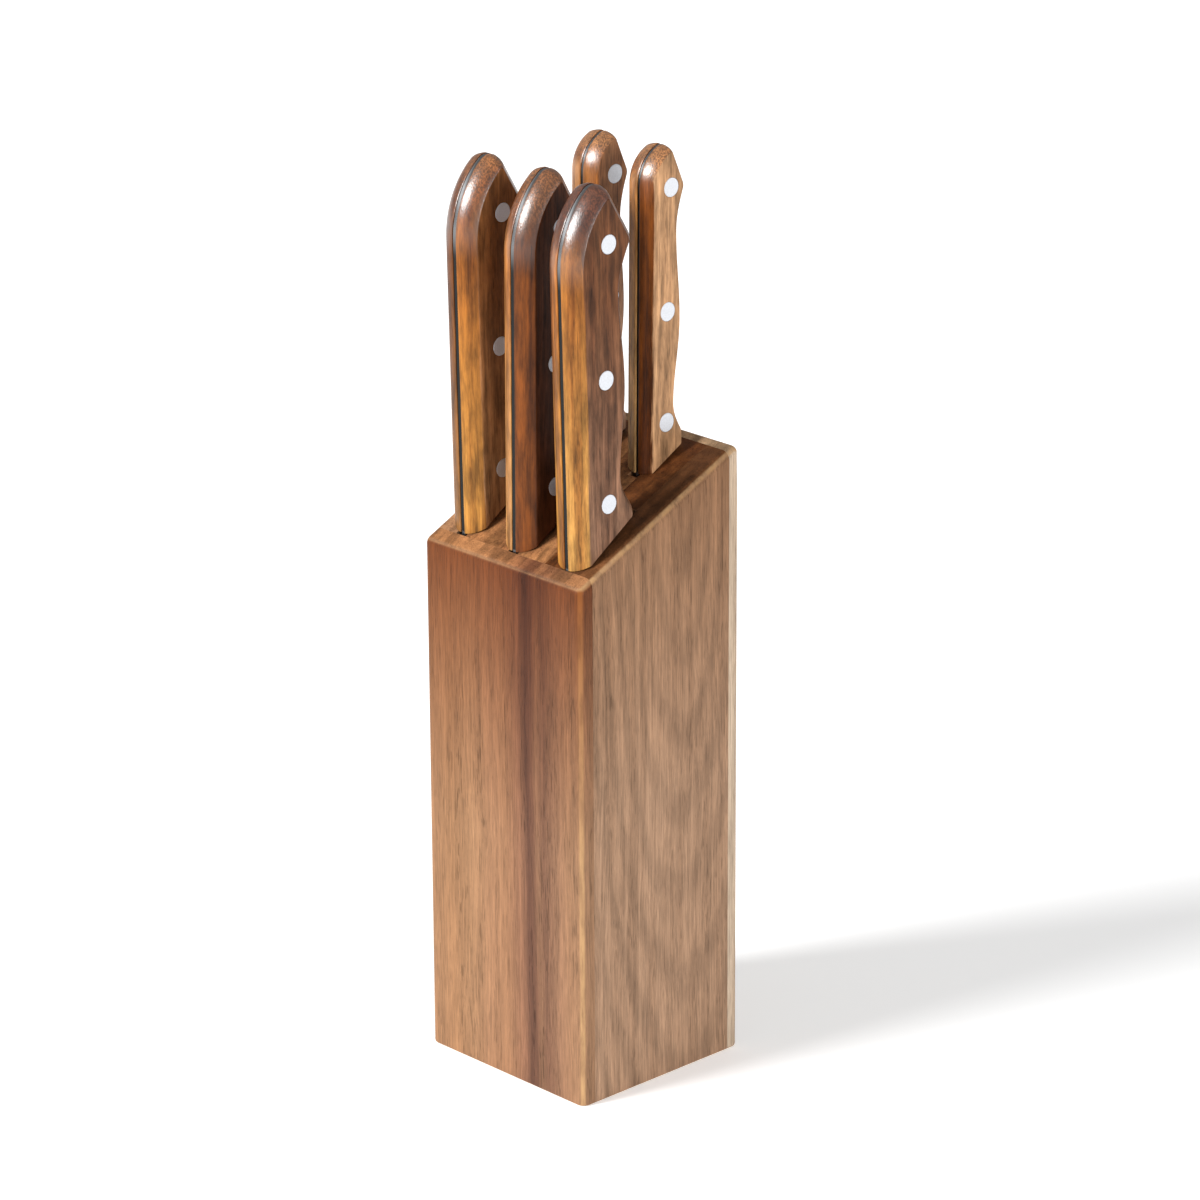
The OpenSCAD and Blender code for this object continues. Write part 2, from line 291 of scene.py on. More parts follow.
def striped(g, grain, width, stops):
    """Streaks at fixed places across a board that is width mm wide."""
    colour = g.ramp(g.span(g.split(grain.warped)[0], -width / 2, width / 2, smooth=False), stops)
    return g.shade(colour, g.span(grain.stripe, 0.3, 0.7, 0.87, 1.12))


def turned_to_side(g, grain, colour, start, end, tones):
    """A second wood colour from start to end mm behind the spine, with an uneven edge. The two tones are
    partly the wood's own and partly painted light and shade, the spine and side being lit unevenly.
    """
    v = g.math("ADD", g.split(grain.place)[1], g.span(grain.streak, 0.2, 0.8, -0.5, 0.5))
    return g.mix(g.span(v, start, end), colour, g.mix(g.span(grain.stripe, 0.35, 0.65), *tones))


def ringed(g, grain, colour, pith_x, pith_y, tilt_x, tilt_y, spacing, strength):
    """Year rings round a pith that runs beside the board."""
    turned = g.split(g.mapped(grain.warped, (-pith_x, -pith_y, 0), (tilt_x, tilt_y, 0)))
    radius = g.vector("LENGTH", g.join(turned[0], turned[1], 0))
    wave = g.math("SINE", g.math("MULTIPLY", radius, 2 * math.pi / spacing))
    return g.shade(colour, g.span(wave, -0.4, 1.0, 1.0, 1.0 - strength))


def butted(g, grain, colour, start, end, end_colour):
    """Speckled end grain on the rounded top end, which begins between start and end mm."""
    height = g.math("ADD", g.split(grain.place)[2], g.span(grain.fibre, 0.2, 0.8, -5, 5))
    upturned = g.span(g.tilt(grain.normal, 2), 0.12, 0.5)
    dark, light = [tuple(k * c for c in end_colour) for k in (0.5, 1.9)]
    specks = g.mix(g.span(g.noise(grain.at, GRIT, 3, 0.8), 0.42, 0.6), dark, light)
    speckled = g.shade(specks, g.span(grain.cloud, 0.3, 0.7, 0.75, 1.2))
    return g.mix(g.math("MULTIPLY", g.span(height, start, end), upturned), colour, speckled)


def tinted_on_top(g, grain, colour, tint):
    """Tint and dark streaks on the face that looks up. The dark tint on the block's right is painted shadow
    of the knives.
    """
    top_streak = g.span(g.noise(grain.at, TOP_STREAKS, 3, 0.6), 0.42, 0.62, 1.12, 0.62)
    tinted_top = g.shade(g.vector("MULTIPLY", colour, tint), top_streak)
    return g.mix(g.span(g.split(grain.normal)[2], 0.6, 0.85), colour, tinted_top)


def rubbed_and_highlit_edges(g, grain, colour, pale_edge):
    """Lighter wood on the rounded edges, which face neither sideways nor along the slope's normal: partly
    rubbed wood, partly a painted highlight where the roundings catch the light.
    """
    sideways = g.math("MAXIMUM", g.tilt(grain.normal, 0), g.tilt(grain.normal, 1))
    on_top = g.math("ABSOLUTE", g.vector("DOT_PRODUCT", grain.normal, tuple(SLOPE_NORMAL)))
    edge = g.span(g.math("MAXIMUM", sideways, on_top), 0.94, 0.8)
    return g.mix(g.math("MULTIPLY", edge, g.span(grain.cloud, 0.35, 0.65, 0.3, 0.85)), colour, pale_edge)


def darkened_upwards(g, grain, colour, low, high, tint):
    """Tint that comes in from low to high mm on upright faces. On the front board and right cheek it is
    painted shade, standing in for the floor's bounce light that weakens with height; on the handles it
    darkens them towards the butt.
    """
    upright = g.span(g.tilt(grain.normal, 2), 0.3, 0.8, 1, 0)
    amount = g.math("MULTIPLY", g.span(g.split(grain.place)[2], low, high, smooth=False), upright)
    return g.mix(amount, colour, g.vector("MULTIPLY", colour, tint))


def lacquer(g, grain, start, end):
    """Weight and normal of the lacquer: thin on the spine, thick on the butt, none on the flat sides."""
    rounded = g.span(g.tilt(grain.normal, 0), 0.88, 0.8)
    weight = g.math("MULTIPLY", rounded, g.span(g.split(grain.place)[2], start - 1, end, 0.08, 0.9))
    return weight, g.bump(g.noise(grain.at, RIPPLES, 2, 0.6), 0.09, 0.8)


def wood(name, seed, tones=None, stripes=None, rings=None, pores=0.5, depth=None, butt=None, edge_rubbing_and_highlight=None,
         top=None, darkening=None, roughness=0.5, mottle=0.25):
    """Solid wood with its grain along Z.

    tones: dark and light colour. stripes: (width, stops) in place of tones. rings: (pith x, pith y,
    tilt x, tilt y, spacing, strength). pores, mottle: how strong they are. depth: (start, end, tones)
    of a second colour behind the spine, partly painted light and shade. butt: (start, end, colour) of
    the lacquered top end. edge_rubbing_and_highlight: colour of the rounded edges, partly rubbed wood
    and partly painted highlight. top: tint of the top face, painted shadow where it is dark.
    darkening: (low, high, tint) of what darkens upwards, painted shade on the boards.
    """
    g = Graph(name)
    grain = Grain(g, seed)
    colour = striped(g, grain, *stripes) if stripes else g.mix(g.span(grain.stripe, 0.32, 0.68), *tones)
    if depth:
        colour = turned_to_side(g, grain, colour, *depth)
    if rings:
        colour = ringed(g, grain, colour, *rings)
    colour = g.shade(colour, g.span(grain.cloud, 0.25, 0.75, 1 - mottle, 1 + mottle * 0.8))
    colour = g.shade(colour, g.span(grain.streak, 0.28, 0.72, 0.86, 1.1))
    colour = g.shade(colour, g.span(grain.fibre, 0.25, 0.75, 0.74, 1.2))
    colour = g.shade(colour, g.math("SUBTRACT", 1.0, g.math("MULTIPLY", grain.pore, pores)))
    if butt:
        colour = butted(g, grain, colour, *butt)
    if top:
        colour = tinted_on_top(g, grain, colour, top)
    if edge_rubbing_and_highlight:
        colour = rubbed_and_highlit_edges(g, grain, colour, edge_rubbing_and_highlight)
    if darkening:
        colour = darkened_upwards(g, grain, colour, *darkening)

    relief = g.math("SUBTRACT", g.math("MULTIPLY", grain.fibre, 0.4), grain.pore)
    surface = g.bump(relief, 0.04 if butt else 0.08, 0.6)
    weight, coat_normal = lacquer(g, grain, *butt[:2]) if butt else (0.0, None)
    rough = g.math("ADD", g.span(grain.fibre, 0.2, 0.8, roughness - 0.06, roughness + 0.08),
                   g.math("MULTIPLY", grain.pore, 0.15))
    g.principled(g.shade(colour, EXPOSURE), rough, specular=WOOD_SPECULAR, coat=weight,
                 coat_roughness=LACQUER_ROUGHNESS, normal=surface, coat_normal=coat_normal)
    return g.material


# ------------------------------------------------------------------ metals
BLADE_COLOUR = (0.56, 0.57, 0.59)
TANG_PAINTED_DARK = (0.03, 0.031, 0.03)      # painted near black: a painted reflection of the dark surroundings on the tang's edge
POLISHED_AND_HIGHLIT_TANG = (0.26, 0.265, 0.27)    # brighter on the handle's rounded end: partly polish, partly a painted highlight where the key light falls
BRIGHT_TANG_START, BRIGHT_TANG_END = 93, 104     # height above the handle's foot, in mm
RIVET_COLOUR = (0.62, 0.635, 0.67)


def ground_steel(name):
    """Satin steel, ground across the blade, with a few faint smudges. The tang's edge is painted dark as a
    painted reflection, and brighter on the butt, partly polish and partly painted highlight.
    """
    g = Graph(name)
    place, _ = g.object_mm()
    height = g.split(place)[2]
    grind = g.noise(place, (3, 0.12, 9), 3, 0.6)
    smudge = g.noise(place, (0.05, 0.05, 0.05), 3)
    tone = g.math("MULTIPLY", g.span(grind, 0.25, 0.75, 0.88, 1.05), g.span(smudge, 0.3, 0.7, 0.93, 1.03))
    tang = g.mix(g.span(height, BRIGHT_TANG_START, BRIGHT_TANG_END), TANG_PAINTED_DARK, POLISHED_AND_HIGHLIT_TANG)
    colour = g.shade(g.mix(g.span(height, -1, 1), BLADE_COLOUR, tang), tone)
    rough = g.math("ADD", g.span(grind, 0.3, 0.7, 0.24, 0.36), g.span(smudge, 0.4, 0.7, 0, 0.06))
    g.principled(colour, rough, metallic=1.0, normal=g.bump(grind, 0.01, 0.5), anisotropic=0.4)
    return g.material


def rivet_metal(name):
    """Pale aluminium, faced off flush, finely speckled."""
    g = Graph(name)
    place, _ = g.object_mm()
    speck = g.noise(place, (2.5, 2.5, 2.5), 4, 0.7)
    stain = g.noise(place, (0.4, 0.4, 0.4), 2)
    colour = g.shade(g.join(*RIVET_COLOUR), g.span(speck, 0.3, 0.75, 1.03, 0.9))
    rough = g.math("ADD", g.span(speck, 0.3, 0.7, 0.42, 0.56), g.span(stain, 0.4, 0.6, 0, 0.05))
    g.principled(colour, rough, metallic=0.55, specular=0.6, normal=g.bump(speck, 0.02, 0.4))
    return g.material


# ------------------------------------------------------------------ mesh helpers
SAME_POINT = 0.0005
SHARP_TURN = math.radians(32)


def object_from(bm, name, body, nodes, material, place=None):
    """A finished piece from a bmesh in millimetres: rides on its body and stands for its CAD nodes."""
    bmesh.ops.remove_doubles(bm, verts=bm.verts, dist=SAME_POINT)
    bmesh.ops.recalc_face_normals(bm, faces=bm.faces)
    bm.transform(Matrix.Scale(MM, 4))
    sharp_edges(bm)
    mesh = bpy.data.meshes.new(name)
    bm.to_mesh(mesh)
    bm.free()
    mesh.materials.append(material)
    piece = bpy.data.objects.new(name, mesh)
    scene.collection.objects.link(piece)
    if place is not None:
        piece.matrix_world = place
    piece.modifiers.new("even_normals", "WEIGHTED_NORMAL").keep_sharp = True
    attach(piece, body)
    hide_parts(*nodes)
    return piece


def sharp_edges(bm):
    """Shades the whole piece smooth, except across edges that turn sharply."""
    for face in bm.faces:
        face.smooth = True
    for edge in bm.edges:
        edge.smooth = len(edge.link_faces) == 2 and edge.calc_face_angle(0) < SHARP_TURN


def work_mesh(bm):
    """A bmesh as a short-lived mesh with outward normals. The bmesh is used up."""
    bmesh.ops.recalc_face_normals(bm, faces=bm.faces)
    mesh = bpy.data.meshes.new("work")
    bm.to_mesh(mesh)
    bm.free()
    return mesh


def merged(parts):
    """Several bmeshes as one, side by side."""
    whole = bmesh.new()
    for bm in parts:
        mesh = work_mesh(bm)
        whole.from_mesh(mesh)
        bpy.data.meshes.remove(mesh)
    return whole


def combined(first, second, operation):
    """The first bmesh joined with, or cut by, the second by an exact boolean."""
    objects = []
    for bm in (first, second):
        work = bpy.data.objects.new("work", work_mesh(bm))
        scene.collection.objects.link(work)
        objects.append(work)
    modifier = objects[0].modifiers.new("work", "BOOLEAN")
    modifier.operation = operation
    modifier.solver = "EXACT"
    modifier.object = objects[1]
    bpy.context.view_layer.update()
    evaluated = objects[0].evaluated_get(bpy.context.evaluated_depsgraph_get())
    done = bpy.data.meshes.new_from_object(evaluated)
    result = bmesh.new()
    result.from_mesh(done)
    for work in objects:
        mesh = work.data
        bpy.data.objects.remove(work)
        bpy.data.meshes.remove(mesh)
    bpy.data.meshes.remove(done)
    return result


def cuboid(low, high):
    """A box between two corners."""
    bm = bmesh.new()
    bmesh.ops.create_cube(bm, size=1)
    for v in bm.verts:
        v.co = Vector([low[k] if v.co[k] < 0 else high[k] for k in range(3)])
    return bm


def lathe(profile, segments=48):
    """Solid of revolution round X from (x, radius) pairs, the first and last on the axis."""
    bm = bmesh.new()
    rings = []
    for x, radius in profile:
        if radius == 0:
            rings.append([bm.verts.new((x, 0, 0))])
        else:
            angles = [2 * math.pi * k / segments for k in range(segments)]
            rings.append([bm.verts.new((x, radius * math.cos(a), radius * math.sin(a))) for a in angles])
    for a, b in zip(rings, rings[1:]):
        for k in range(segments):
            corners = [a[k % len(a)], a[(k + 1) % len(a)], b[(k + 1) % len(b)], b[k % len(b)]]
            bm.faces.new(list(dict.fromkeys(corners)))
    return bm


def loft(rings):
    """Skin through rings of equally many points, closed at both ends."""
    bm = bmesh.new()
    rows = [[bm.verts.new(p) for p in ring] for ring in rings]
    n = len(rows[0])
    for a, b in zip(rows, rows[1:]):
        for k in range(n):
            bm.faces.new((a[k], a[(k + 1) % n], b[(k + 1) % n], b[k]))
    bm.faces.new(rows[0][::-1])
    bm.faces.new(rows[-1])
    return bm


# ------------------------------------------------------------------ block
EDGE_R = 3.0
FOOT_R = 0.9
SEAM = 0.04          # half the width of the hairline between two boards
MOUTH_BEVEL = 0.35
BELOW = -12.0        # rounded forms are made this much too deep, then cut off flat
ROUND_STEPS = 6      # faces across half a rounded edge
WIDE_STEPS = 6       # faces across the block, between its rounded edges
TALL_STEPS = 14
CORE_TOP = 0.15      # metres: the vertices of a core board above this lie on its top face

block_high = Vector(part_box("back_board")[1]) / MM
HALF_W = block_high.x
HALF_D = block_high.y
joint_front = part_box("front_board")[1].y / MM
joint_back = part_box("back_board")[0].y / MM
slope_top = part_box("left_lamella")[1].z / MM


def slope_line():
    """Height of the top face at y = 0 and its rise per millimetre, read from a core board's top face."""
    top = [v.co / MM for v in frame["nodes"]["left_lamella"].data.vertices if v.co.z > CORE_TOP]
    front = min(top, key=lambda p: (round(p.y, 2), -p.z))
    back = max(top, key=lambda p: (round(p.y, 2), p.z))
    rise = (back.z - front.z) / (back.y - front.y)
    return front.z - rise * front.y, rise


TOP_AT_MIDDLE, SLOPE = slope_line()
SLOPE_NORMAL = Vector((0, -SLOPE, 1)).normalized()
BLOCK_MIDDLE = TOP_AT_MIDDLE * MM / 2


def top_z(y):
    """Height of the sloping top face."""
    return TOP_AT_MIDDLE + SLOPE * y


def closest_in_polygon(p, corners):
    """Nearest point to p in a convex, anticlockwise polygon."""
    best = None
    inside = True
    for a, b in zip(corners, corners[1:] + corners[:1]):
        ab = b - a
        t = min(1, max(0, (p - a).dot(ab) / ab.length_squared))
        q = a + ab * t
        if ab.cross(p - a) < 0:
            inside = False
        if best is None or (q - p).length < (best - p).length:
            best = q
    return p.copy() if inside else best


def edge_spaced(low, high, middle):
    """Places from low to high: close together within the edge radius, so that it rounds evenly."""
    near = [EDGE_R * (1 - math.tan(math.pi / 4 * k / ROUND_STEPS)) for k in range(ROUND_STEPS, -1, -1)]
    inner = [low + EDGE_R + (high - low - 2 * EDGE_R) * k / middle for k in range(1, middle)]
    return [low + d for d in near] + inner + [high - d for d in reversed(near)]


def rounded_block():
    """The whole block with every edge rounded to one radius, in millimetres."""
    xs = edge_spaced(-HALF_W, HALF_W, WIDE_STEPS)
    ys = edge_spaced(-HALF_D, HALF_D, WIDE_STEPS)
    tall = TOP_AT_MIDDLE - BELOW
    heights = [h / tall for h in edge_spaced(0, tall, TALL_STEPS)]
    drop = EDGE_R / SLOPE_NORMAL.z
    inner = [
        Vector((-HALF_D + EDGE_R, BELOW + EDGE_R)),
        Vector((HALF_D - EDGE_R, BELOW + EDGE_R)),
        Vector((HALF_D - EDGE_R, top_z(HALF_D - EDGE_R) - drop)),
        Vector((-HALF_D + EDGE_R, top_z(-HALF_D + EDGE_R) - drop)),
    ]
    bm = bmesh.new()
    made = {}

    def corner(i, j, k):
        if (i, j, k) not in made:
            x, y = xs[i], ys[j]
            h = heights[k] * tall
            z = BELOW + h * (top_z(y) - BELOW) / tall if h < tall / 2 else top_z(y) - (tall - h)
            flat = closest_in_polygon(Vector((y, z)), inner)
            core = Vector((min(HALF_W - EDGE_R, max(EDGE_R - HALF_W, x)), flat.x, flat.y))
            out = Vector((x, y, z)) - core
            made[i, j, k] = bm.verts.new(core + out.normalized() * EDGE_R)
        return made[i, j, k]

    def patch(place, first, second):
        """One face of the grid: place plus steps along two of the three axes."""
        steps = [(0, 0), (1, 0), (1, 1), (0, 1)]
        bm.faces.new([corner(*(place[k] + a * first[k] + b * second[k] for k in range(3))) for a, b in steps])

    across, along, up = (1, 0, 0), (0, 1, 0), (0, 0, 1)
    last_x, last_y, last_z = len(xs) - 1, len(ys) - 1, len(heights) - 1
    for i in range(last_x):
        for j in range(last_y):
            for k in (0, last_z):
                patch((i, j, k), across, along)
        for k in range(last_z):
            for j in (0, last_y):
                patch((i, j, k), across, up)
    for j in range(last_y):
        for k in range(last_z):
            for i in (0, last_x):
                patch((i, j, k), along, up)
    bmesh.ops.recalc_face_normals(bm, faces=bm.faces)
    cut_flat(bm, (0, 0, 0), (0, 0, -1))
    foot = [e for e in bm.edges if all(abs(v.co.z) < 1e-4 for v in e.verts)]
    ease(bm, foot, FOOT_R, 3)
    return bm


def ease(bm, edges, width, segments):
    """Rounds edges by a narrow bevel."""
    bmesh.ops.bevel(
        bm, geom=edges, offset=width, segments=segments, profile=0.5, affect="EDGES", clamp_overlap=True)


def cut_flat(bm, point, outward):
    """Cuts off what lies beyond a plane, closes the cut and returns its rim."""
    geometry = bm.verts[:] + bm.edges[:] + bm.faces[:]
    cut = bmesh.ops.bisect_plane(
        bm, geom=geometry, plane_co=point, plane_no=outward, clear_outer=True, dist=1e-5)
    rim = [e for e in cut["geom_cut"] if isinstance(e, bmesh.types.BMEdge)]
    bmesh.ops.contextual_create(bm, geom=rim)
    return rim


def board(whole, node, groove=None):
    """One board of the block, cut from the rounded form, with its slot milled in."""
    low, high = [Vector(c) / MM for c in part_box(node)]
    bm = whole.copy()
    planes = []
    if node == "front_board":
        planes = [((0, joint_front - SEAM, 0), (0, 1, 0))]
    elif node == "back_board":
        planes = [((0, joint_back + SEAM, 0), (0, -1, 0))]
    else:
        planes = [((0, joint_front, 0), (0, -1, 0)), ((0, joint_back, 0), (0, 1, 0))]
        if low.x > -HALF_W + 1:
            planes.append(((low.x + SEAM, 0, 0), (-1, 0, 0)))
        if high.x < HALF_W - 1:
            planes.append(((high.x, 0, 0), (1, 0, 0)))
    for point, outward in planes:
        cut_flat(bm, point, outward)
    if groove:
        x0, y0, y1, floor_z = groove
        cutter = cuboid((x0, y0, floor_z), (high.x + 5, y1, slope_top + 60))
        bm = combined(bm, cutter, "DIFFERENCE")
        soften_mouth(bm, x0, y0, y1)
    return bm


def soften_mouth(bm, x0, y0, y1):
    """Eases the slot's edges on the top face."""
    rim = []
    for e in bm.edges:
        mid = (e.verts[0].co + e.verts[1].co) / 2
        on_top = abs(mid.z - top_z(mid.y)) < 0.02
        by_slot = (
            (abs(mid.x - x0) < 0.01 and y0 - 0.01 < mid.y < y1 + 0.01)
            or (mid.x > x0 and min(abs(mid.y - y0), abs(mid.y - y1)) < 0.01)
        )
        if on_top and by_slot and len(e.link_faces) == 2 and e.calc_face_angle(0) > 0.5:
            rim.append(e)
    if rim:
        ease(bm, rim, MOUTH_BEVEL, 2)


def groove_of(node):
    """Left side, both ends and floor of the slot in a board, read from its CAD mesh.

    The slot's floor corners are the vertices well inside the board's sides and well below its top.
    """
    low, high = [Vector(c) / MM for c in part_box(node)]
    inside = []
    for v in frame["nodes"][node].data.vertices:
        p = v.co / MM
        if low.x + 0.5 < p.x < high.x - 0.5 and p.z < top_z(p.y) - 20 and p.z > 2:
            inside.append(p)
    if not inside:
        return None
    x0 = min(p.x for p in inside if p.x > high.x - 5)
    deep = [p for p in inside if abs(p.x - x0) < 0.01]
    return x0, min(p.y for p in deep), max(p.y for p in deep), min(p.z for p in deep)


# ------------------------------------------------------------------ knives
RIVET_FIT = 0.05
HEAD_R = 3.2
HEAD_T = 2.2
SLEEVE_R = 2.0
PIN_R = 1.2
TANG_INSET = 0.35     # how far the tang's edge lies below the scales' edges
TANG_FOOT = -4.0      # the tang reaches this far below the handle's foot, into the blade
CORNER_REACH = 1.2    # length of an outline's side that a rounded corner takes up
DOME_SHRINK = 0.03    # keeps the smooth dome inside the CAD model's facets
FOOT_BEVEL = 0.45
DRILL_REACH = 3.0     # how far the tools that cut the bores stand out past the piece

# Outlines of the flat side face as (distance behind the spine, height above the handle's foot), in mm
HANDLES = {
    "front": {
        "inset": 3.8, "butt_start": 99, "butt_r": 29.1, "peak": (15.4, 122.2), "beak": (24.1, 107),
        "waist_up": (18.4, 89.8), "belly": (20.3, 60.8), "waist_low": (17.4, 28.8), "guard": (22.4, 16.2),
        "rivets": ((12.3, 21.2), (12.4, 62.8), (14.9, 107.2)), "steel": 0.75, "cut": math.radians(33),
    },
    "rear": {
        "inset": 1.7, "butt_start": 96.3, "butt_r": 12, "peak": (9.6, 107.9), "beak": (15, 95.6),
        "waist_up": (11.8, 81.2), "belly": (13.6, 51.2), "waist_low": (11, 23.2), "guard": (14.8, 13.2),
        "rivets": ((8, 17.1), (8.1, 54.5), (9.3, 95.7)), "steel": 0.5, "cut": math.radians(30),
    },
}

# Length, width, height of the heel, distance of the point behind the spine, and how far along the
# blade its spine and its edge start to curve
BLADES = {
    "chef": (168, 43.5, 2, 17, 0.5, 0.45),
    "carving": (168, 25, -1, 11, 0.4, 0.7),
    "bread": (168, 22.5, -1, 17, 0.8, 0.9),
    "utility": (125, 18.3, 0, 7, 0.4, 0.6),
    "paring": (90, 18.2, 0, 6, 0.4, 0.5),
}
BLADE_ROOT = 8.0      # how far a blade runs up between the scales
NECK_W = 17           # greatest width of a blade there
SPINE_V = 0.4         # how far a blade's spine lies behind the tang's edge
POINT_L = 6.0         # last part of a blade, with closer cross-sections
TAPER_START, TAPER_SPAN, TAPER_BY = 0.35, 0.6, 0.5      # thinning towards the point, as shares
GRIND_START, GRIND_BY = 0.45, 0.85                      # thinning towards the edge, as shares
EDGE_BEVEL = 0.7
SERRATED_BEVEL = 2.2
SERRATION_L = 8.0
SERRATION_H = 1.2


def quadratic(a, b, c, t):
    """Point on the curve from a to c that b pulls at."""
    return a * (1 - t) ** 2 + b * 2 * t * (1 - t) + c * t * t


def corner_points(a, p, b, n=6):
    """The corner p between a and b, rounded."""
    start = p + (a - p).normalized() * CORNER_REACH
    end = p + (b - p).normalized() * CORNER_REACH
    return [quadratic(start, p, end, i / n) for i in range(n + 1)]


def flare_points(a, b, n=14):
    """From a to b, upright at a and swinging out towards b."""
    return [Vector((a.x + (b.x - a.x) * (1 - math.cos(math.pi / 2 * i / n)), a.y + (b.y - a.y) * i / n))
            for i in range(1, n)]


def wave_points(a, b, n=14):
    """From a to b, upright at both."""
    return [Vector((a.x + (b.x - a.x) * (1 - math.cos(math.pi * i / n)) / 2, a.y + (b.y - a.y) * i / n))
            for i in range(n)]


def side_outline(h):
    """The flat side face's outline, anticlockwise from the bottom of the belly side."""
    peak, beak, guard = (Vector(h[name]) for name in ("peak", "beak", "guard"))
    waist_up, belly, waist_low = (Vector(h[name]) for name in ("waist_up", "belly", "waist_low"))
    start, radius, inset = h["butt_start"], h["butt_r"], h["inset"]
    last = math.asin((peak.y - start) / radius)
    butt = [Vector((inset + radius * (1 - math.cos(a)), start + radius * math.sin(a)))
            for a in (last * (1 - i / 16) for i in range(1, 17))]
    low, up = flare_points(waist_low, guard), flare_points(waist_up, beak)
    spine = [Vector((inset, start - (start - BELOW / 2) * i / 14)) for i in range(1, 15)]
    return (
        [Vector((guard.x, BELOW)), Vector((guard.x, BELOW / 2))]
        + corner_points(Vector((guard.x, 0)), guard, low[-3])
        + low[::-1][2:] + wave_points(waist_low, belly) + wave_points(belly, waist_up) + [waist_up]
        + up[:-1] + corner_points(up[-2], beak, peak) + corner_points(beak, peak, butt[1])
        + butt[1:] + spine + [Vector((inset, BELOW))]
    )


def grown(points, d):
    """Outline moved outwards by d, each point along its own normal."""
    n = len(points)
    moved = []
    for i, p in enumerate(points):
        along = (points[(i + 1) % n] - points[i - 1]).normalized()
        moved.append(p + Vector((along.y, -along.x)) * d)
    return moved


def dome_rings(h, half):
    """(distance from the middle, growth of the side outline) from the tang to the side face.

    The first and last pairs ease the edges at the tang and at the flat side face.
    """
    inset = h["inset"]
    r = (half * half + inset * inset) / (2 * inset)

    def growth(x):
        return inset - DOME_SHRINK - (r - math.sqrt(r * r - x * x))

    inner = h["steel"] + 0.01
    first, last = math.asin((inner + 0.35) / r), math.asin(half / r) - 0.28 / r
    arc = [r * math.sin(first + (last - first) * k / 9) for k in range(10)]
    return (
        [(inner, growth(inner) - 0.36), (inner + 0.1, growth(inner) - 0.12)]
        + [(x, growth(x)) for x in arc]
        + [(half - 0.03, -0.08), (half, -0.32)]
    )


def scale(knife, side):
    """One handle scale: domed all round, flat outside, cut off slantwise below and drilled."""
    h, half = knife["handle"], knife["half"]
    line = side_outline(h)
    rings = [[(side * x, p.x, p.y) for p in grown(line, d)] for x, d in dome_rings(h, half)]
    bm = loft(rings)
    bmesh.ops.recalc_face_normals(bm, faces=bm.faces)
    outward = (0, math.sin(h["cut"]), -math.cos(h["cut"]))
    rim = cut_flat(bm, (0, 0, 0), outward)
    ease(bm, [e for e in rim if e.is_valid], FOOT_BEVEL, 3)
    bore, head = SLEEVE_R + RIVET_FIT, HEAD_R + RIVET_FIT
    floor, out = half - HEAD_T - RIVET_FIT, half + DRILL_REACH
    cutters = []
    for v, w in h["rivets"]:
        cutter = lathe([(0.2, 0), (0.2, bore), (floor, bore), (floor, head), (out, head), (out, 0)])
        cutter.transform(Matrix.Translation((0, v, w)) @ Matrix.Diagonal((side, 1, 1, 1)))
        cutters.append(cutter)
    return combined(bm, merged(cutters), "DIFFERENCE")


def rivet_halves(knife):
    """Hollow halves with their heads on the left, solid halves with theirs on the right."""
    half = knife["half"]
    rim = 0.12                 # width of the bevel round a head
    face = half + 0.015        # heads stand out by a hair
    tip = half - HEAD_T - 0.4
    bore = PIN_R + RIVET_FIT

    def head(sign):
        return [
            (sign * face, 0), (sign * face, HEAD_R - rim), (sign * (face - rim), HEAD_R),
            (sign * (half - HEAD_T), HEAD_R),
        ]

    under_head = HEAD_T - half
    hollow = head(-1) + [
        (under_head, SLEEVE_R), (tip - 0.15, SLEEVE_R), (tip, SLEEVE_R - 0.15), (tip, bore),
        (under_head, bore), (under_head, 0),
    ]
    end = under_head + 1
    solid = head(1) + [(half - HEAD_T, PIN_R), (end + 0.3, PIN_R), (end, PIN_R - 0.3), (end, 0)]
    halves = []
    for profile in (hollow, solid):
        each = []
        for v, w in knife["handle"]["rivets"]:
            one = lathe(profile)
            one.transform(Matrix.Translation((0, v, w)))
            each.append(one)
        halves.append(merged(each))
    return halves


def blade_edges(kind):
    """Spine and edge of a blade as arrays of heights and distances, from the handle down to the point."""
    length, width, heel, tip_v, fall, rise = BLADES[kind]
    tip = Vector((tip_v, -length))

    def sweep(v, start, pull):
        """From v behind the handle's spine to the point. start and pull are shares of the length."""
        first, pulled = Vector((v, -length * start)), Vector((v, -length * pull))
        return [quadratic(first, pulled, tip, k / 24) for k in range(25)]

    spine = [Vector((SPINE_V, BLADE_ROOT))] + sweep(SPINE_V, fall, 0.88)
    edge = [Vector((min(width, NECK_W), BLADE_ROOT)), Vector((width, heel))] + sweep(width, rise, 0.97)
    return [(np.array([-p.y for p in side]), np.array([p.x for p in side])) for side in (spine, edge)]


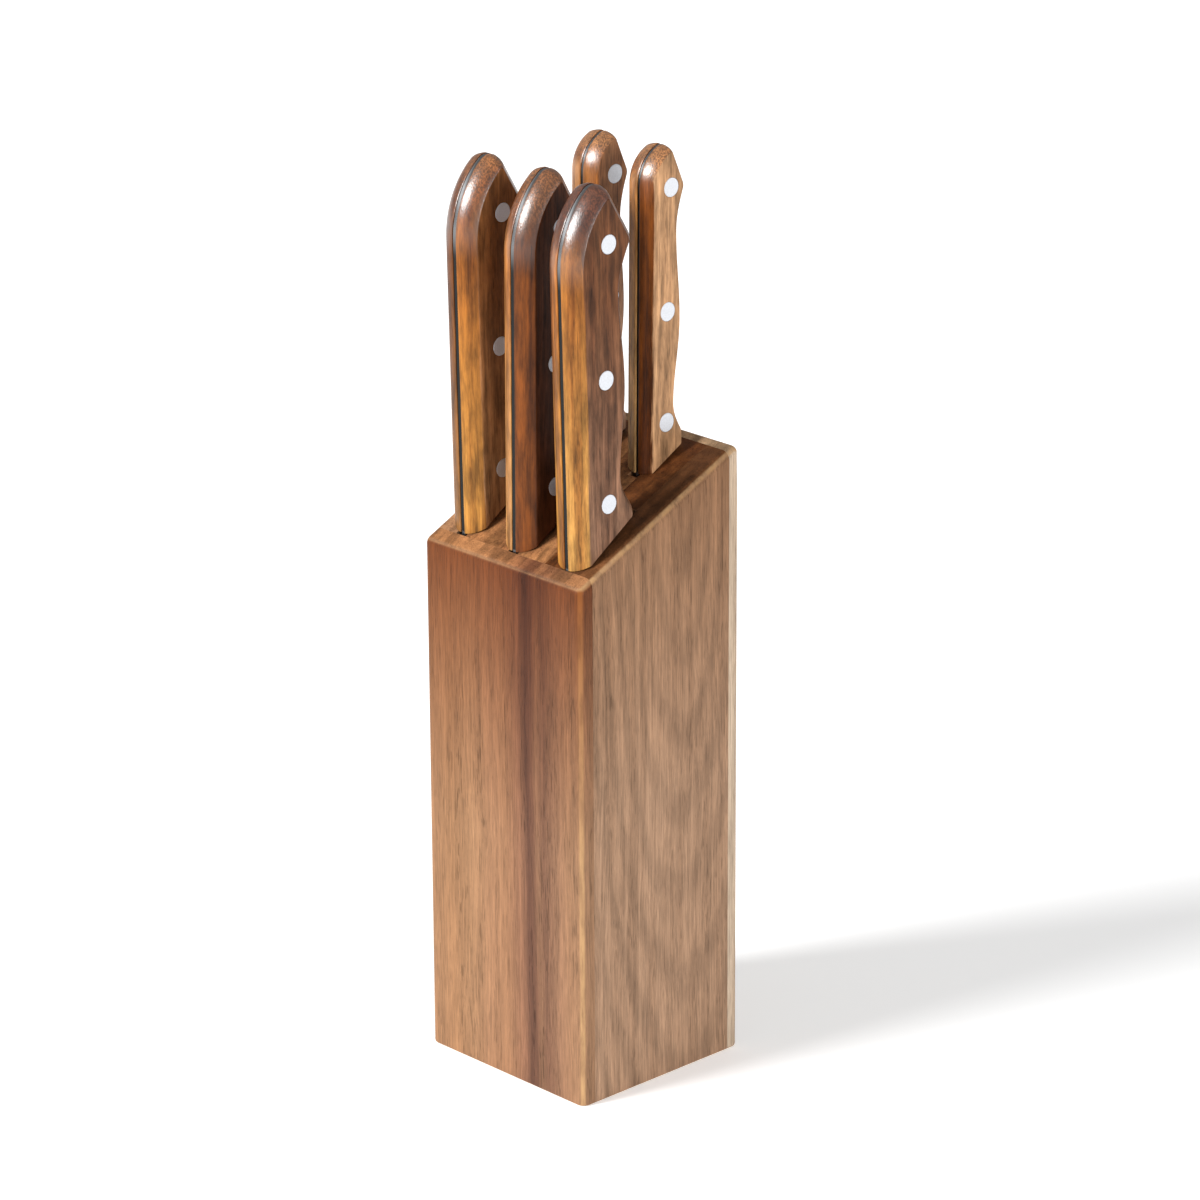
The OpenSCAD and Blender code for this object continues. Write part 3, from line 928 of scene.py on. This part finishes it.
def ground_blade(kind, steel_half):
    """Blade with flat-ground faces and a fine edge bevel, scalloped on the bread knife."""
    length, width, heel, _, _, rise = BLADES[kind]
    (spine_depths, spines), (edge_depths, edges) = blade_edges(kind)
    step = 0.5 if kind == "bread" else 2.0
    near_point = [length - POINT_L + POINT_L * math.sin(math.pi / 2 * k / 12) for k in range(13)]
    depths = list(np.arange(-BLADE_ROOT, length - POINT_L, step)) + near_point
    rings = []
    for depth in depths:
        spine = float(np.interp(depth, spine_depths, spines))
        edge = max(float(np.interp(depth, edge_depths, edges)), spine + 0.3)
        bevel = EDGE_BEVEL
        if kind == "bread" and -heel + 2 < depth < length * rise:
            bite = SERRATION_H * abs(math.sin(math.pi * (depth + heel) / SERRATION_L))
            edge -= bite
            bevel = SERRATED_BEVEL - bite * 0.5
        tapered = min(1, max(0, (depth - TAPER_START * length) / (TAPER_SPAN * length)))
        thick = steel_half * (1 - TAPER_BY * tapered)
        grind = min(max(GRIND_START * width, spine + 0.2), edge - 0.1)
        fine = max(edge - bevel, spine + 0.16)
        thinned = GRIND_BY * (fine - grind) / max(width - grind, 1)
        slim = max(0.1, thick * (1 - thinned)) if fine > grind else thick
        grind = min(grind, fine)
        eased = spine + min(0.14, (edge - spine) / 4)
        right = [(thick - 0.1, spine), (thick, eased), (thick, grind), (slim, fine), (0.03, edge)]
        ring = right + [(-x, v) for x, v in reversed(right)]
        rings.append([(x, v, -depth) for x, v in ring])
    return loft(rings)


def steel(knife):
    """Tang and blade, one piece of steel drilled for the rivets."""
    h = knife["handle"]
    t = h["steel"]      # half the thickness
    tang = [p for p in grown(side_outline(h), h["inset"] - TANG_INSET) if p.y > TANG_FOOT]
    outline = [Vector((tang[0].x, TANG_FOOT))] + tang + [Vector((tang[-1].x, TANG_FOOT))]
    soft = 0.12
    inner = grown(outline, -soft)
    rings = [
        [(-t, p.x, p.y) for p in inner], [(soft - t, p.x, p.y) for p in outline],
        [(t - soft, p.x, p.y) for p in outline], [(t, p.x, p.y) for p in inner],
    ]
    whole = combined(loft(rings), ground_blade(knife["kind"], t), "UNION")
    bore = SLEEVE_R + RIVET_FIT
    drills = []
    for v, w in h["rivets"]:
        drill = lathe([(-DRILL_REACH, 0), (-DRILL_REACH, bore), (DRILL_REACH, bore), (DRILL_REACH, 0)], 32)
        drill.transform(Matrix.Translation((0, v, w)))
        drills.append(drill)
    return combined(whole, merged(drills), "DIFFERENCE")


def knife_facts(kind, handle):
    """Where a knife stands: its lean from its joint, its foot and thickness from its CAD nodes."""
    body = f"{kind}_knife"
    joint = next(j for j in frame["joints"] if j["child"] == body)
    axis = Vector(joint["axis"]).normalized()
    turn = Matrix.Rotation(-math.atan2(axis.y, axis.z), 4, "X")
    x_low, x_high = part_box(f"{kind}_blade")[0].x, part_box(f"{kind}_blade")[1].x
    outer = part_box(f"{kind}_right_scale")[1].x
    middle = (x_low + x_high) / 2
    local = [turn.inverted() @ v.co for v in frame["nodes"][f"{kind}_right_scale"].data.vertices]
    spine = min(p.y for p in local) / MM
    near_spine = [p for p in local if p.y / MM < spine + 0.05]
    foot = min(p.z for p in near_spine) / MM
    half = (outer - middle) / MM
    h = HANDLES[handle]
    r = (half * half + h["inset"] ** 2) / (2 * h["inset"])
    drop = r - math.sqrt(r * r - h["steel"] ** 2)
    foot -= drop * math.tan(h["cut"])
    origin = turn @ Vector((0, (spine - drop) * MM, foot * MM))
    return {
        "kind": kind, "body": body, "handle": h, "half": half,
        "place": Matrix.Translation((middle, origin.y, origin.z)) @ turn,
    }


# ------------------------------------------------------------------ woods of the boards
# Colour of the rounded edges: partly rubbed wood, partly a painted highlight where they catch the light.
RUBBED_AND_HIGHLIT = (0.72, 0.43, 0.2)
# Tints of the top face. The second is painted shadow of the knives on the right lamella's and right cheek's
# tops, with some of their own darker tone.
TOP_TINT = (1.22, 1.05, 0.85)
TOP_PAINTED_SHADOW = (0.5, 0.33, 0.2)
CORE = ((0.38, 0.185, 0.09), (0.52, 0.27, 0.13))
CHEEK = ((0.43, 0.25, 0.148), (0.57, 0.342, 0.208))
SAPWOOD = ((0.62, 0.45, 0.31), (0.76, 0.58, 0.42))
# Darkening of the front board and right cheek towards their tops: painted shade, standing in for the floor's
# bounce light that weakens with height.
FRONT_PAINTED_SHADE = (85, 190, (0.41, 0.17, 0.03))
CHEEK_PAINTED_SHADE = (100, 210, (0.72, 0.6, 0.48))
# Place across the front board, from 0 at the left to 1 at the right, and colour there
FRONT_STRIPES = [
    (0.03, (0.46, 0.24, 0.12)), (0.16, (0.46, 0.235, 0.112)), (0.3, (0.49, 0.26, 0.13)),
    (0.41, (0.45, 0.23, 0.118)), (0.5, (0.43, 0.215, 0.108)), (0.6, (0.35, 0.165, 0.09)),
    (0.66, (0.17, 0.075, 0.045)), (0.7, (0.21, 0.095, 0.055)), (0.73, (0.33, 0.165, 0.09)),
    (0.77, (0.27, 0.13, 0.075)), (0.84, (0.37, 0.19, 0.105)), (0.92, (0.44, 0.23, 0.12)),
    (0.97, (0.42, 0.225, 0.12)),
]


def board_woods():
    """Node, material slot and wood of each board."""
    outer = {"edge_rubbing_and_highlight": RUBBED_AND_HIGHLIT, "top": TOP_TINT}
    boards = [
        ("front_board", "front_wood",
         {"stripes": (2 * HALF_W, FRONT_STRIPES), "pores": 0.4, "darkening": FRONT_PAINTED_SHADE, "mottle": 0.1, **outer}),
        ("back_board", "back_wood",
         {"tones": SAPWOOD, "rings": (30, 60, 0.03, 0.02, 5, 0.1), "pores": 0.35, "mottle": 0.1, **outer}),
        ("left_cheek", "cheek_wood",
         {"tones": CHEEK, "rings": (60, -14, 0.05, 0.09, 8, 0.2), "pores": 0.38, "mottle": 0.12, **outer}),
    ]
    for node, pith_x, pith_y, spacing, top in (
        ("left_lamella", 9, 30, 4, TOP_TINT), ("centre_left_lamella", -20, 30, 5, TOP_TINT),
        ("centre_right_lamella", 30, -20, 4, TOP_TINT), ("right_lamella", 20, 50, 5, TOP_PAINTED_SHADOW),
    ):
        look = {"tones": CORE, "rings": (pith_x, pith_y, 0, 0.02, spacing, 0.15), "top": top}
        boards.append((node, "core_wood", look))
    boards.append(
        ("right_cheek", "cheek_wood",
         {"tones": CHEEK, "rings": (-7, 10, 0, -0.2, 6, 0.16), "pores": 0.38, "mottle": 0.12,
          "darkening": CHEEK_PAINTED_SHADE, "edge_rubbing_and_highlight": RUBBED_AND_HIGHLIT, "top": TOP_PAINTED_SHADOW}))
    return [
        (node, slot, wood(f"wood_{node}", seed, **look))
        for seed, (node, slot, look) in enumerate(boards, 1)
    ]


# ------------------------------------------------------------------ woods of the handles
# Dark and light tone
ORANGE = ((0.24, 0.07, 0.008), (0.82, 0.37, 0.07))
LIGHT_ORANGE = ((0.6, 0.26, 0.08), (0.85, 0.45, 0.15))
PALE_BROWN = ((0.28, 0.11, 0.025), (0.44, 0.195, 0.05))
BROWN = ((0.1, 0.024, 0.003), (0.3, 0.08, 0.01))
WARM_BROWN = ((0.46, 0.23, 0.1), (0.66, 0.35, 0.16))
# Painted shade: darker than the wood, for a side that lies in the shade between the knives.
BROWN_IN_PAINTED_SHADE = ((0.1, 0.03, 0.01), (0.16, 0.05, 0.018))
PURPLE_BROWN = ((0.25, 0.12, 0.068), (0.38, 0.2, 0.118))
ROSY_BROWN = ((0.62, 0.36, 0.23), (0.9, 0.56, 0.37))
TAN = ((0.56, 0.3, 0.145), (0.72, 0.4, 0.2))
GOLD = ((0.42, 0.17, 0.036), (0.86, 0.44, 0.11))
# Painted light: lighter than the wood, for left spines that the key light reaches.
PALE_PAINTED_LIGHT = ((0.95, 0.5, 0.18), (1.1, 0.66, 0.27))
LIGHT_END = (0.4, 0.17, 0.06)
GOLDEN_END = (0.3, 0.115, 0.036)
BROWN_END = (0.23, 0.085, 0.028)
DARK_END = (0.14, 0.045, 0.02)
HANDLE_DARKENING = (0.62, 0.45, 0.3)
FIRST_HANDLE_SEED = 20

# Kind, size of handle, and for the left and the right scale: tones of the spine and side, butt colour
# The spine and side tones are partly painted light and shade: the carving knife's dark right side and the
# paring knife's dark right spine are painted shade, the rear knives' light left spines painted light.
KNIVES = [
    ("chef", "front", (PALE_BROWN, PURPLE_BROWN, BROWN_END), (ORANGE, WARM_BROWN, GOLDEN_END)),
    ("carving", "front", (LIGHT_ORANGE, ORANGE, GOLDEN_END), (BROWN, BROWN_IN_PAINTED_SHADE, BROWN_END)),
    ("bread", "front", (ORANGE, BROWN, DARK_END), (GOLD, PURPLE_BROWN, DARK_END)),
    ("utility", "rear", (PALE_PAINTED_LIGHT, ORANGE, LIGHT_END), (LIGHT_ORANGE, ROSY_BROWN, LIGHT_END)),
    ("paring", "rear", (PALE_PAINTED_LIGHT, ORANGE, LIGHT_END), (BROWN, TAN, LIGHT_END)),
]


def scale_wood(kind, side, seed, look, handle):
    """Lacquered wood of one scale. All but the brown spines are darker towards the butt."""
    spine, face, end = look
    inset = HANDLES[handle]["inset"]
    start = HANDLES[handle]["butt_start"]
    return wood(
        f"wood_{kind}_{side}", seed, spine, depth=(inset - 0.35, inset + 0.25, face),
        butt=(start - 6, start + 8, end), rings=(12, -30, 0.01, 0.02, 3, 0.16),
        darkening=None if spine is BROWN else (0.1 * start, 0.9 * start, HANDLE_DARKENING), roughness=0.42, mottle=0.5)


# ------------------------------------------------------------------ build everything
def build_block():
    """All boards, cut from one rounded block."""
    whole = rounded_block()
    for node, slot, material in board_woods():
        groove = groove_of(node) if slot in ("core_wood", "cheek_wood") else None
        piece = board(whole, node, groove)
        object_from(piece, f"block_{node}", "block", [node], material)
    whole.free()


def build_knife(kind, handle, looks, seed, blade_material, rivet_material):
    """Steel, scales and rivets of one knife. The scales take two seeds."""
    knife = knife_facts(kind, handle)
    body, place = knife["body"], knife["place"]
    object_from(steel(knife), f"{kind}_steel", body, [f"{kind}_blade"], blade_material, place)
    for k, (side, sign, look) in enumerate(zip(("left", "right"), (-1, 1), looks)):
        material = scale_wood(kind, side, seed + k, look, handle)
        object_from(scale(knife, sign), f"{kind}_scale_{side}", body,
                    [f"{kind}_{side}_scale"], material, place)
    for name, bm in zip(("rivet_sleeves", "rivet_pins"), rivet_halves(knife)):
        object_from(bm, f"{kind}_{name}_turned", body,
                    [f"{kind}_{name}"], rivet_material, place)


add_camera()
add_studio()
scene.view_settings.view_transform = "Standard"
build_block()
blade_steel = ground_steel("ground_steel")
rivet_aluminium = rivet_metal("rivet_aluminium")
for number, (kind, handle, *looks) in enumerate(KNIVES):
    build_knife(kind, handle, looks, FIRST_HANDLE_SEED + 2 * number, blade_steel, rivet_aluminium)
